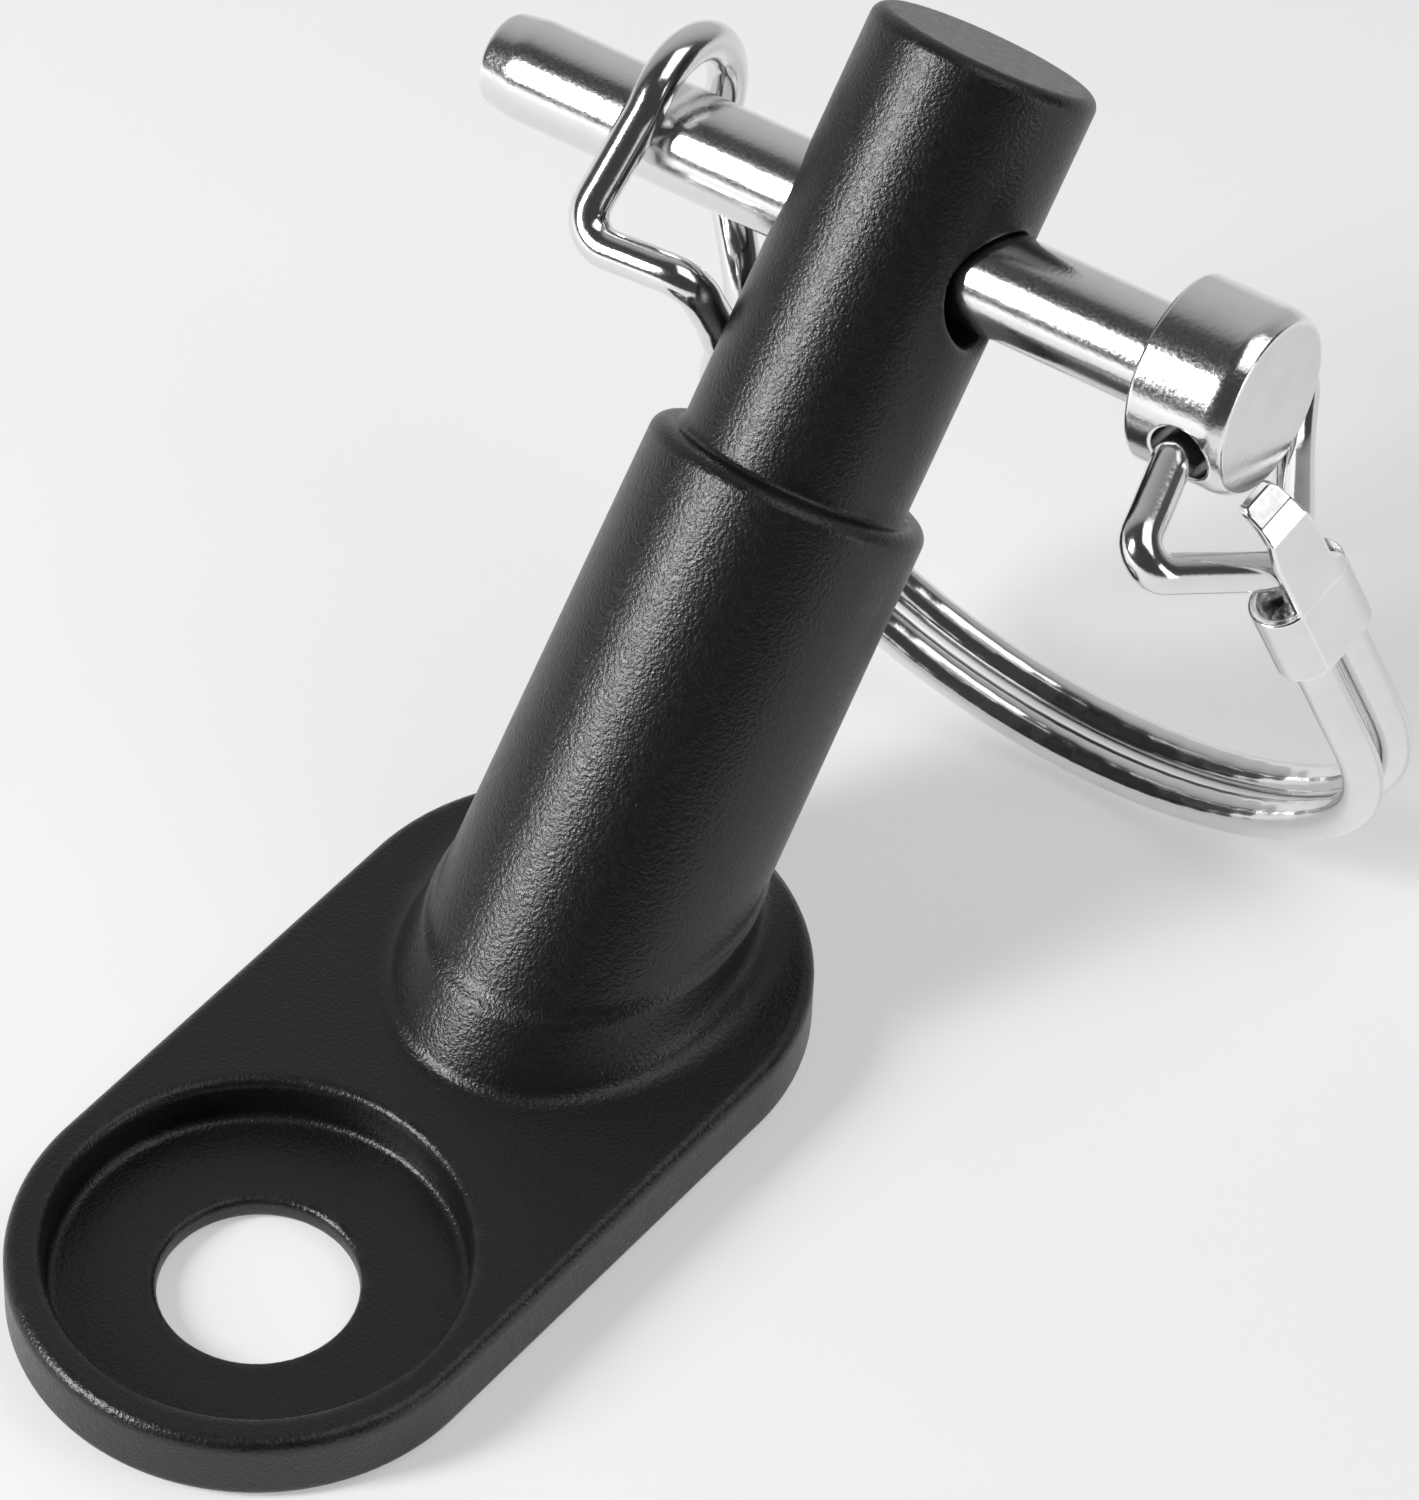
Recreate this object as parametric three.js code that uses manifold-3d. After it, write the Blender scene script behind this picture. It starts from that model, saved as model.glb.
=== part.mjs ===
// Hitch pin lock: a bicycle-trailer coupler casting with its cross pin, link, ferrule and spring ring.
// Millimetres, +Z up. X runs along the plate from the axle hole to the column, and the pin crosses
// along Y. Shapes are drawn from the axle hole's centre on the plate's underside, and the finished
// group is shifted so that the origin is on that underside, midway between the hole and the column.
import * as THREE from 'three';
import Module from 'manifold-3d';

const wasm = await Module();
wasm.setup();

// Plate
const HOLE_RADIUS = 6.0;
const RECESS_RADIUS = 12.55;
const RECESS_DEPTH = 3.2;
const PLATE_THICKNESS = 4.8;
const PLATE_HALF_WIDTH = 14.9;
const PLATE_CENTRES = 29.1;
const PLATE_EDGE_ROUND = 0.8;
const PLATE_OUTLINE_RADIUS = PLATE_HALF_WIDTH - PLATE_EDGE_ROUND;

// Column: a tapered collar and a straight spigot on one leaning axis
const COLUMN_X = 28.8;
const COLUMN_LEAN = THREE.MathUtils.degToRad(38.8);
const COLLAR_BASE_RADIUS = 9.18;
const COLLAR_TOP_RADIUS = 8.92;
const COLLAR_LENGTH = 33.3;
const COLLAR_RIM_ROUND = 1.0;
const SPIGOT_RADIUS = 7.27;
const COLUMN_LENGTH = 61.15;
const SPIGOT_TIP_ROUND = 0.9;

// Foot: the cast flare where the column meets the plate
const FOOT_FLARE = 2.4;
const FOOT_HEIGHT = 3.7;
const FOOT_SHIFT = FOOT_HEIGHT * Math.tan(COLUMN_LEAN);

// Lock pin in its oversize cross hole, tilted so that its head end sits nearer the spigot tip
const PIN_HEIGHT = 48.7;
const PIN_TILT = THREE.MathUtils.degToRad(4.33);
const CROSS_HOLE_RADIUS = 3.85;
const PIN_RADIUS = 3.23;
const PIN_TIP_RADIUS = 2.87;
const PIN_TIP_TAPER = 2.3;
const PIN_TIP_REACH = 29.2;
const HEAD_START = 19.5;
const HEAD_END = 26.0;
const HEAD_RADIUS = 5.87;
const HEAD_CHAMFER = 0.9;
const HEAD_CHAMFER_DROP = 0.45;

// Link: a bent wire through a hole across the lower half of the head
const WIRE_RADIUS = 1.25;
const LINK_HOLE_RADIUS = 1.9;
const LINK_HOLE_REACH = 23.3;
const LINK_HOLE_FRONT = new THREE.Vector2(-4.15, 4.15);
const LINK_HOLE_BACK = new THREE.Vector2(1.3, -5.72);
const LINK_LEAN = THREE.MathUtils.degToRad(40);
const LINK_SEAM = 0.3;
// Corners of the link from the front of its hole round to the back: along the hole, down, out of
// plane, and the bend's radius
const LINK_CORNERS = [
  { at: [-0.5, 0.0, 0.0], radius: 1.6 },
  { at: [-8.5, 3.5, 0.0], radius: 1.5 },
  { at: [3.6, 9.6, -0.65], radius: 3.2 },
  { at: [10.75, 4.0, 1.0], radius: 6.0 },
  { at: [13.8, 0.0, 0.0], radius: 1.2 },
];

// Spring ring: two strands of one wire, on planes that share one normal
const RING_TILT = 0.598;
const RING_SKEW = 0.0168;
const RING_CENTRE = new THREE.Vector2(12.1, 18.45);
const RING_RADIUS = 23.45;
const RING_CORNER_RADIUS = 13;
const STRAND_NEAR = -7.5;
const STRAND_FAR = -4.65;
const STRAND_INSET = 0.4;
const NEAR_LEAVE = THREE.MathUtils.degToRad(184);
const FAR_LEAVE = THREE.MathUtils.degToRad(196);

// Snap loop round the tip of the pin: two legs across the pin and a round crown between them
const LOOP_HALF_GAP = 4.7;
const LOOP_REACH = -16.45;
const LOOP_CROWN = 1.35;
// The near strand's rise to the loop as reach and depth in the ring's plane
const LOOP_RISE = [[-10.5, 11.4], [-9.35, 8.2], [-9.45, 5.2]];
// The bends of the front leg and of the back leg: reach, height up the column, and bend radius
const LOOP_FRONT_BENDS = [
  { reach: -9.6, height: -6.9, gap: LOOP_HALF_GAP - 0.2, radius: 1.9 },
  { reach: LOOP_REACH - 1.55, height: -7.35, gap: LOOP_HALF_GAP, radius: 2.0 },
];
const LOOP_BACK_BENDS = [
  { reach: -15.6, height: -0.2, gap: -LOOP_HALF_GAP, radius: 12 },
  { reach: -11.2, height: -6.6, gap: -LOOP_HALF_GAP, radius: 6 },
];

// Ferrule: a folded sheet tube over both wire ends, with a tongue bent over the link
const FERRULE_EXIT = new THREE.Vector2(31.2, 13.6);
const FERRULE_SLANT = THREE.MathUtils.degToRad(11);
const FERRULE_TUBE = 5.7;
const FERRULE_WIDTH = 6.9;
const FERRULE_DEPTH = 4.1;
const FERRULE_CORNER = 2.0;
const WIRE_INSERTION = 3.6;
const SHEET = 0.55;

// Tongue: how far it runs along the tube's frame, and its width where it leaves and where it ends
const TONGUE_ROOT = 0.4;
const TONGUE_BEND_START = 11.9;
const TONGUE_BEND_INNER = 1.5;
const TONGUE_TURN = THREE.MathUtils.degToRad(45);
const TONGUE_TAIL = 1.9;
const TONGUE_WIDTH = 3.7;
const TONGUE_END_WIDTH = 2.7;

// Mesh fineness
const WIRE_SIDES = 10;
const RING_STEPS = 240;
const LINK_STEPS = 84;

const V3 = (x, y, z) => new THREE.Vector3(x, y, z);

function material(name, color, roughness, metalness) {
  const made = new THREE.MeshStandardMaterial({ color, roughness, metalness });
  made.name = name;
  return made;
}

const blackCoat = material('black_powder_coat', 0x161617, 0.55, 0.1);
const brightPlate = material('bright_zinc_plate', 0xc9cbcc, 0.25, 1.0);

// Booleans: three.js geometry to manifold and back
function toManifold(geometry, matrix = new THREE.Matrix4()) {
  const placed = geometry.clone().applyMatrix4(matrix);
  const position = placed.getAttribute('position');
  const keys = new Map();
  const vertices = [];
  const remap = [];
  for (let i = 0; i < position.count; i += 1) {
    const point = [position.getX(i), position.getY(i), position.getZ(i)];
    const key = point.map((value) => Math.round(value * 1e5)).join();
    if (!keys.has(key)) {
      keys.set(key, vertices.length / 3);
      vertices.push(...point);
    }
    remap.push(keys.get(key));
  }
  const source = placed.index ? Array.from(placed.index.array) : [...Array(position.count).keys()];
  const triangles = [];
  for (let i = 0; i < source.length; i += 3) {
    const [a, b, c] = [remap[source[i]], remap[source[i + 1]], remap[source[i + 2]]];
    if (a !== b && b !== c && a !== c) triangles.push(a, b, c);
  }
  const mesh = new wasm.Mesh({
    numProp: 3,
    vertProperties: new Float32Array(vertices),
    triVerts: new Uint32Array(triangles),
  });
  return new wasm.Manifold(mesh);
}

function toGeometry(solid) {
  const mesh = solid.getMesh();
  const geometry = new THREE.BufferGeometry();
  geometry.setAttribute('position', new THREE.BufferAttribute(new Float32Array(mesh.vertProperties), 3));
  geometry.setIndex(new THREE.BufferAttribute(new Uint32Array(mesh.triVerts), 1));
  const flat = geometry.toNonIndexed();
  flat.computeVertexNormals();
  return flat;
}

// A point on an arc, for profiles with rounded edges
function arcPoints(cx, cy, radius, from, to, steps) {
  const points = [];
  for (let i = 0; i <= steps; i += 1) {
    const angle = from + ((to - from) * i) / steps;
    points.push(new THREE.Vector2(cx + radius * Math.cos(angle), cy + radius * Math.sin(angle)));
  }
  return points;
}

// Frame of the column: Y of a lathe turned onto the leaning axis, foot at z = plate top
function columnMatrix() {
  const turn = new THREE.Matrix4().makeRotationY(COLUMN_LEAN);
  const upright = new THREE.Matrix4().makeRotationX(Math.PI / 2);
  const place = new THREE.Matrix4().makeTranslation(COLUMN_X, 0, PLATE_THICKNESS);
  return place.multiply(turn).multiply(upright);
}

// Frame of the pin: X out along the pin to its head, Y up the column, Z to the front
function pinMatrix() {
  const up = V3(Math.sin(COLUMN_LEAN), 0, Math.cos(COLUMN_LEAN));
  const out = V3(0, -Math.cos(PIN_TILT), 0).addScaledVector(up, Math.sin(PIN_TILT));
  const raised = up.clone().addScaledVector(out, -up.dot(out)).normalize();
  const front = new THREE.Vector3().crossVectors(out, raised);
  const centre = V3(COLUMN_X, 0, PLATE_THICKNESS).addScaledVector(up, PIN_HEIGHT);
  return new THREE.Matrix4().makeBasis(out, raised, front).setPosition(centre);
}

// The plate's flat face: two half circles joined by straight sides, inside the rounded edge
function plateOutline() {
  const outline = new THREE.Shape();
  outline.absarc(0, 0, PLATE_OUTLINE_RADIUS, Math.PI / 2, (3 * Math.PI) / 2, false);
  outline.absarc(PLATE_CENTRES, 0, PLATE_OUTLINE_RADIUS, -Math.PI / 2, Math.PI / 2, false);
  return outline;
}

function plateSolid() {
  const geometry = new THREE.ExtrudeGeometry(plateOutline(), {
    depth: PLATE_THICKNESS - 2 * PLATE_EDGE_ROUND,
    curveSegments: 36,
    bevelEnabled: true,
    bevelThickness: PLATE_EDGE_ROUND,
    bevelSize: PLATE_EDGE_ROUND,
    bevelSegments: 3,
  });
  geometry.translate(0, 0, PLATE_EDGE_ROUND);
  return toManifold(geometry);
}

function columnSolid() {
  const buried = -2.0;
  const rim = COLLAR_RIM_ROUND;
  const tip = SPIGOT_TIP_ROUND;
  const profile = [
    new THREE.Vector2(0, buried),
    new THREE.Vector2(COLLAR_BASE_RADIUS, buried),
    ...arcPoints(COLLAR_TOP_RADIUS - rim, COLLAR_LENGTH - rim, rim, 0, Math.PI / 2, 4),
    new THREE.Vector2(SPIGOT_RADIUS, COLLAR_LENGTH),
    ...arcPoints(SPIGOT_RADIUS - tip, COLUMN_LENGTH - tip, tip, 0, Math.PI / 2, 4),
    new THREE.Vector2(0, COLUMN_LENGTH),
  ];
  return toManifold(new THREE.LatheGeometry(profile, 60), columnMatrix());
}

// Stacked ellipses: the column's own sections, swelling down to the plate, most under the lean
function footSolid() {
  const levels = 8;
  const around = 60;
  const sunk = 1.0;
  const tuck = 0.05;
  const longRadius = COLLAR_BASE_RADIUS / Math.cos(COLUMN_LEAN);
  const points = [];
  for (let level = 0; level < levels; level += 1) {
    const height = level === 0 ? -sunk : (FOOT_HEIGHT * (level - 1)) / (levels - 2);
    const rise = THREE.MathUtils.clamp(height / FOOT_HEIGHT, 0, 1);
    const swell = 1 - Math.sqrt(1 - (1 - rise) ** 2);
    const flare = FOOT_FLARE * swell - tuck * rise;
    const middle = COLUMN_X + Math.max(height, 0) * Math.tan(COLUMN_LEAN) + FOOT_SHIFT * swell;
    for (let i = 0; i < around; i += 1) {
      const angle = (2 * Math.PI * i) / around;
      const x = middle + (longRadius + flare) * Math.cos(angle);
      const y = (COLLAR_BASE_RADIUS + flare) * Math.sin(angle);
      points.push(x, y, PLATE_THICKNESS + height);
    }
  }
  const bottom = points.length / 3;
  const top = bottom + 1;
  const middle = COLUMN_X + FOOT_SHIFT;
  points.push(middle, 0, PLATE_THICKNESS - sunk, middle, 0, PLATE_THICKNESS + FOOT_HEIGHT);
  const index = [];
  for (let i = 0; i < around; i += 1) {
    const next = (i + 1) % around;
    const last = (levels - 1) * around;
    index.push(bottom, next, i);
    index.push(top, last + i, last + next);
    for (let level = 0; level < levels - 1; level += 1) {
      const a = level * around + i;
      const b = level * around + next;
      index.push(a, b, b + around, a, b + around, a + around);
    }
  }
  const geometry = new THREE.BufferGeometry();
  geometry.setAttribute('position', new THREE.Float32BufferAttribute(points, 3));
  geometry.setIndex(index);
  return toManifold(geometry).intersect(airOverPlate());
}

// The plate's outline carried upward, which trims the foot at the plate's rounded end
function airOverPlate() {
  const height = 4 * PLATE_THICKNESS;
  return toManifold(
    new THREE.ExtrudeGeometry(plateOutline(), { depth: height, curveSegments: 36, bevelEnabled: false }),
  );
}

// A cylinder on the axle hole's axis
function upright(radius, low, high, segments) {
  const geometry = new THREE.CylinderGeometry(radius, radius, high - low, segments);
  geometry.rotateX(Math.PI / 2);
  geometry.translate(0, 0, (low + high) / 2);
  return toManifold(geometry);
}

function crossHole() {
  const length = 4 * SPIGOT_RADIUS;
  const geometry = new THREE.CylinderGeometry(CROSS_HOLE_RADIUS, CROSS_HOLE_RADIUS, length, 40);
  const place = new THREE.Matrix4().makeTranslation(0, PIN_HEIGHT, 0);
  const across = new THREE.Matrix4().makeRotationX(Math.PI / 2);
  return toManifold(geometry, columnMatrix().multiply(place).multiply(across));
}

function couplerBody() {
  const floor = PLATE_THICKNESS - RECESS_DEPTH;
  return plateSolid()
    .add(footSolid())
    .add(columnSolid().trimByPlane([0, 0, 1], floor))
    .subtract(upright(HOLE_RADIUS, -1, PLATE_THICKNESS + 1, 56))
    .subtract(upright(RECESS_RADIUS, floor, PLATE_THICKNESS + 1, 64))
    .subtract(crossHole());
}

// A round bar about the pin's X axis, from a profile of radius against reach
function turned(profile, segments) {
  const geometry = new THREE.LatheGeometry(profile, segments);
  geometry.rotateZ(-Math.PI / 2);
  return geometry;
}

function lockPin() {
  const lip = 0.35;
  const profile = [
    new THREE.Vector2(0, -PIN_TIP_REACH),
    new THREE.Vector2(PIN_TIP_RADIUS - lip, -PIN_TIP_REACH),
    new THREE.Vector2(PIN_TIP_RADIUS, lip - PIN_TIP_REACH),
    new THREE.Vector2(PIN_RADIUS, PIN_TIP_TAPER - PIN_TIP_REACH),
    new THREE.Vector2(PIN_RADIUS, HEAD_START),
    new THREE.Vector2(HEAD_RADIUS - lip, HEAD_START),
    new THREE.Vector2(HEAD_RADIUS, HEAD_START + lip),
    new THREE.Vector2(HEAD_RADIUS, HEAD_END - HEAD_CHAMFER),
    new THREE.Vector2(HEAD_RADIUS - HEAD_CHAMFER_DROP, HEAD_END),
    new THREE.Vector2(0, HEAD_END),
  ];
  const hole = new THREE.CylinderGeometry(LINK_HOLE_RADIUS, LINK_HOLE_RADIUS, 4 * HEAD_RADIUS, 32);
  return toManifold(turned(profile, 48)).subtract(toManifold(hole, linkHoleMatrix()));
}

// Link frame: X through the head's hole from front to back, Y down the link, Z its normal
function linkMatrix() {
  const front = V3(LINK_HOLE_REACH, LINK_HOLE_FRONT.x, LINK_HOLE_FRONT.y);
  const back = V3(LINK_HOLE_REACH, LINK_HOLE_BACK.x, LINK_HOLE_BACK.y);
  const through = back.clone().sub(front).normalize();
  const hang = new THREE.Vector3().crossVectors(through, V3(1, 0, 0)).normalize();
  if (hang.y > 0) hang.negate();
  const down = hang.multiplyScalar(Math.cos(LINK_LEAN)).addScaledVector(V3(1, 0, 0), Math.sin(LINK_LEAN));
  const normal = new THREE.Vector3().crossVectors(through, down);
  return new THREE.Matrix4().makeBasis(through, down, normal).setPosition(front);
}

function linkHoleMatrix() {
  const along = new THREE.Matrix4().makeRotationZ(Math.PI / 2);
  const centre = new THREE.Matrix4().makeTranslation(linkHoleLength() / 2, 0, 0);
  return linkMatrix().multiply(centre).multiply(along);
}

function linkHoleLength() {
  return LINK_HOLE_FRONT.distanceTo(LINK_HOLE_BACK);
}

// Straight runs between the points of an open route, each corner rounded to its own radius
function roundedRoute(corners) {
  const last = corners.length - 1;
  const points = [];
  for (let i = 0; i <= last; i += 1) {
    const { at, radius = 0 } = corners[i];
    if (i === 0 || i === last || radius === 0) {
      points.push(at.clone());
      continue;
    }
    const before = corners[i - 1].at.clone().sub(at).normalize();
    const after = corners[i + 1].at.clone().sub(at).normalize();
    const half = before.angleTo(after) / 2;
    const middle = before.clone().add(after).normalize();
    const centre = at.clone().addScaledVector(middle, radius / Math.sin(half));
    const start = at.clone().addScaledVector(before, radius / Math.tan(half)).sub(centre);
    const end = at.clone().addScaledVector(after, radius / Math.tan(half)).sub(centre);
    const sweep = start.angleTo(end);
    const steps = Math.max(2, Math.ceil(sweep / 0.3));
    for (let k = 0; k <= steps; k += 1) {
      const weight = k / steps;
      const a = Math.sin((1 - weight) * sweep) / Math.sin(sweep);
      const b = Math.sin(weight * sweep) / Math.sin(sweep);
      points.push(centre.clone().addScaledVector(start, a).addScaledVector(end, b));
    }
  }
  return points;
}

// Long straight runs get midpoints so that a smooth curve through the points stays straight there
function denser(points, spacing) {
  const out = [];
  for (let i = 0; i < points.length - 1; i += 1) {
    const pieces = Math.max(1, Math.ceil(points[i].distanceTo(points[i + 1]) / spacing));
    for (let k = 0; k < pieces; k += 1) out.push(points[i].clone().lerp(points[i + 1], k / pieces));
  }
  out.push(points[points.length - 1].clone());
  return out;
}

function wireAlong(points, steps) {
  const spacing = 1.6;
  const curve = new THREE.CatmullRomCurve3(denser(points, spacing), false, 'centripetal');
  const circle = arcPoints(0, 0, WIRE_RADIUS, 0, 2 * Math.PI, WIRE_SIDES).slice(0, WIRE_SIDES);
  const section = new THREE.Shape(circle);
  return new THREE.ExtrudeGeometry(section, { steps, extrudePath: curve, bevelEnabled: false });
}

// The link's wire starts and ends in the middle of the hole, with a narrow seam between its ends
function linkWire() {
  const middle = linkHoleLength() / 2;
  const corners = LINK_CORNERS.map(({ at, radius }) => ({ at: V3(...at), radius }));
  const first = { at: V3(middle - LINK_SEAM / 2, 0, 0) };
  const last = { at: V3(middle + LINK_SEAM / 2, 0, 0) };
  return wireAlong(roundedRoute([first, ...corners, last]), LINK_STEPS);
}

// A point of the ring: reach along the pin, depth behind it, and height along the ring's normal
function ringPoint(reach, depth, height) {
  const lift = height + RING_SKEW * reach;
  const y = lift * Math.cos(RING_TILT) - depth * Math.sin(RING_TILT);
  const z = -lift * Math.sin(RING_TILT) - depth * Math.cos(RING_TILT);
  return V3(reach, y, z);
}

// The strand from the ferrule round to the tip end of the pin, in the ring's own plane
function strandRoute(height, inset, leaveAngle) {
  const along = new THREE.Vector2(Math.sin(FERRULE_SLANT), Math.cos(FERRULE_SLANT));
  const outward = new THREE.Vector2(along.y, -along.x);
  const exit = FERRULE_EXIT.clone().addScaledVector(outward, -inset);
  const start = exit.clone().addScaledVector(along, -WIRE_INSERTION);
  const inner = RING_RADIUS - RING_CORNER_RADIUS;
  const offset = outward.dot(exit.clone().sub(RING_CENTRE)) - RING_CORNER_RADIUS;
  const join = Math.acos(offset / inner) - FERRULE_SLANT;
  const cornerX = RING_CENTRE.x + inner * Math.cos(join);
  const cornerY = RING_CENTRE.y + inner * Math.sin(join);
  const plane = [
    start,
    ...arcPoints(cornerX, cornerY, RING_CORNER_RADIUS, -FERRULE_SLANT, join, 8),
    ...arcPoints(RING_CENTRE.x, RING_CENTRE.y, RING_RADIUS, join + 0.1, leaveAngle, 26),
  ];
  return plane.map((point) => ringPoint(point.x, point.y, height));
}

// The near strand rises to the loop, the loop goes round the pin, and the far strand returns
function ringWire() {
  const near = strandRoute(STRAND_NEAR, STRAND_INSET, NEAR_LEAVE);
  const far = strandRoute(STRAND_FAR, 0, FAR_LEAVE);
  const bend = ({ reach, height, gap, radius }) => ({ at: V3(reach, height, gap), radius });
  const front = [
    { at: near[near.length - 1] },
    ...LOOP_RISE.map(([reach, depth]) => ({ at: ringPoint(reach, depth, STRAND_NEAR) })),
    ...LOOP_FRONT_BENDS.map(bend),
    { at: V3(LOOP_REACH, LOOP_CROWN, LOOP_HALF_GAP) },
  ];
  const crown = arcPoints(0, 0, LOOP_HALF_GAP, 0, Math.PI, 12).map((point) =>
    V3(LOOP_REACH, LOOP_CROWN + point.y, point.x));
  const back = [
    { at: V3(LOOP_REACH, LOOP_CROWN, -LOOP_HALF_GAP) },
    ...LOOP_BACK_BENDS.map(bend),
    { at: far[far.length - 1] },
  ];
  const route = [
    ...near.slice(0, -1),
    ...roundedRoute(front),
    ...crown.slice(1, -1),
    ...roundedRoute(back),
    ...far.slice(0, -1).reverse(),
  ];
  return wireAlong(route, RING_STEPS);
}

// Ferrule frame: X along the wires toward the link, Y outward from the ring, Z across both strands
function ferruleMatrix() {
  const along = new THREE.Vector2(Math.sin(FERRULE_SLANT), Math.cos(FERRULE_SLANT));
  const inset = new THREE.Vector2(-along.y, along.x).multiplyScalar(STRAND_INSET);
  const farExit = ringPoint(FERRULE_EXIT.x, FERRULE_EXIT.y, STRAND_FAR);
  const nearExit = ringPoint(FERRULE_EXIT.x + inset.x, FERRULE_EXIT.y + inset.y, STRAND_NEAR);
  const toLink = ringPoint(-along.x, -along.y, 0);
  const across = farExit.clone().sub(nearExit).normalize();
  const outward = new THREE.Vector3().crossVectors(across, toLink);
  const middle = nearExit.add(farExit).multiplyScalar(0.5);
  return new THREE.Matrix4().makeBasis(toLink, outward, across).setPosition(middle);
}

function roundedRectangle(width, height, corner) {
  const shape = new THREE.Shape();
  const x = width / 2 - corner;
  const y = height / 2 - corner;
  shape.absarc(x, y, corner, 0, Math.PI / 2, false);
  shape.absarc(-x, y, corner, Math.PI / 2, Math.PI, false);
  shape.absarc(-x, -y, corner, Math.PI, 1.5 * Math.PI, false);
  shape.absarc(x, -y, corner, 1.5 * Math.PI, 2 * Math.PI, false);
  return shape;
}

function ferrule() {
  const outer = roundedRectangle(FERRULE_WIDTH, FERRULE_DEPTH, FERRULE_CORNER);
  const innerWidth = FERRULE_WIDTH - 2 * SHEET;
  const innerDepth = FERRULE_DEPTH - 2 * SHEET;
  outer.holes.push(roundedRectangle(innerWidth, innerDepth, FERRULE_CORNER - SHEET));
  const tube = new THREE.ExtrudeGeometry(outer, { depth: FERRULE_TUBE, curveSegments: 6, bevelEnabled: false });
  tube.rotateY(Math.PI / 2);
  return toManifold(tube).add(bentTongue().intersect(tongueTaper()));
}

// The tongue in side view: flat along the tube's outer face, bent over, and a short flat end
function bentTongue() {
  const face = FERRULE_DEPTH / 2;
  const steps = 5;
  const centreY = face - SHEET - TONGUE_BEND_INNER;
  const upright = Math.PI / 2;
  const leaned = upright - TONGUE_TURN;
  const outer = arcPoints(TONGUE_BEND_START, centreY, TONGUE_BEND_INNER + SHEET, upright, leaned, steps);
  const inner = arcPoints(TONGUE_BEND_START, centreY, TONGUE_BEND_INNER, leaned, upright, steps);
  const run = new THREE.Vector2(Math.sin(leaned), -Math.sin(TONGUE_TURN)).multiplyScalar(TONGUE_TAIL);
  const profile = new THREE.Shape([
    new THREE.Vector2(TONGUE_ROOT, face),
    ...outer,
    outer[steps].clone().add(run),
    inner[0].clone().add(run),
    ...inner,
    new THREE.Vector2(TONGUE_ROOT, face - SHEET),
  ]);
  const tongue = new THREE.ExtrudeGeometry(profile, { depth: TONGUE_WIDTH, bevelEnabled: false });
  tongue.translate(0, 0, -TONGUE_WIDTH / 2);
  return toManifold(tongue);
}

// The tongue seen from outside: straight along the tube, then narrowing to a corner-rounded end
function tongueTaper() {
  const corner = 0.5;
  const far = TONGUE_BEND_START + (TONGUE_BEND_INNER + SHEET + TONGUE_TAIL) * Math.sin(TONGUE_TURN);
  const half = TONGUE_WIDTH / 2;
  const endHalf = TONGUE_END_WIDTH / 2;
  const outline = new THREE.Shape();
  outline.moveTo(0, -half);
  outline.lineTo(FERRULE_TUBE, -half);
  outline.lineTo(far - corner, -endHalf);
  outline.quadraticCurveTo(far, -endHalf, far, corner - endHalf);
  outline.lineTo(far, endHalf - corner);
  outline.quadraticCurveTo(far, endHalf, far - corner, endHalf);
  outline.lineTo(FERRULE_TUBE, half);
  outline.lineTo(0, half);
  const depth = 4 * FERRULE_DEPTH;
  const prism = new THREE.ExtrudeGeometry(outline, { depth, curveSegments: 4, bevelEnabled: false });
  prism.translate(0, 0, -depth / 2);
  prism.rotateX(Math.PI / 2);
  return toManifold(prism);
}

function addMesh(group, name, geometry, surface, matrix) {
  const mesh = new THREE.Mesh(geometry, surface);
  mesh.name = name;
  if (matrix) mesh.applyMatrix4(matrix);
  group.add(mesh);
}

const hitchPinLock = new THREE.Group();
hitchPinLock.position.x = -PLATE_CENTRES / 2;
addMesh(hitchPinLock, 'coupler_body', toGeometry(couplerBody()), blackCoat);

const pinGroup = new THREE.Group();
pinGroup.applyMatrix4(pinMatrix());
addMesh(pinGroup, 'lock_pin', toGeometry(lockPin()), brightPlate);
addMesh(pinGroup, 'link_wire', linkWire(), brightPlate, linkMatrix());
addMesh(pinGroup, 'ring_wire', ringWire(), brightPlate);
addMesh(pinGroup, 'ring_ferrule', toGeometry(ferrule()), brightPlate, ferruleMatrix());
hitchPinLock.add(pinGroup);

export default hitchPinLock;
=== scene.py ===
import math

import bpy
import numpy as np
from mathutils import Matrix, Vector


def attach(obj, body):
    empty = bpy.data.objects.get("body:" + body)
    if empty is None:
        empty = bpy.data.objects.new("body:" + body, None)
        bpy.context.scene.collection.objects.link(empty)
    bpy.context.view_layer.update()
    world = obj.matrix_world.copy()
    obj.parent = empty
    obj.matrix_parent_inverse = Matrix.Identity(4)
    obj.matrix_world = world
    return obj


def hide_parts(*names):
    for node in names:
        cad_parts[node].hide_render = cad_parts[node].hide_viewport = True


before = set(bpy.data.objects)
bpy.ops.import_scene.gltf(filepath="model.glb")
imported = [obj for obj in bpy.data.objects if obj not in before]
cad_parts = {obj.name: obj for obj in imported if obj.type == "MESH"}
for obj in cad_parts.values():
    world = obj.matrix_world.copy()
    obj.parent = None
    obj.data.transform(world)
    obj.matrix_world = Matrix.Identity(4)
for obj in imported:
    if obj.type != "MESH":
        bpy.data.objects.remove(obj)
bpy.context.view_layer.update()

MM = 0.001

# Plate
HOLE_RADIUS = 6.0
RECESS_RADIUS = 12.55
RECESS_DEPTH = 3.2
PLATE_THICKNESS = 4.8
PLATE_HALF_WIDTH = 14.9
PLATE_CENTRES = 29.1
PLATE_EDGE_ROUND = 0.8
ORIGIN_X = PLATE_CENTRES / 2

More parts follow.
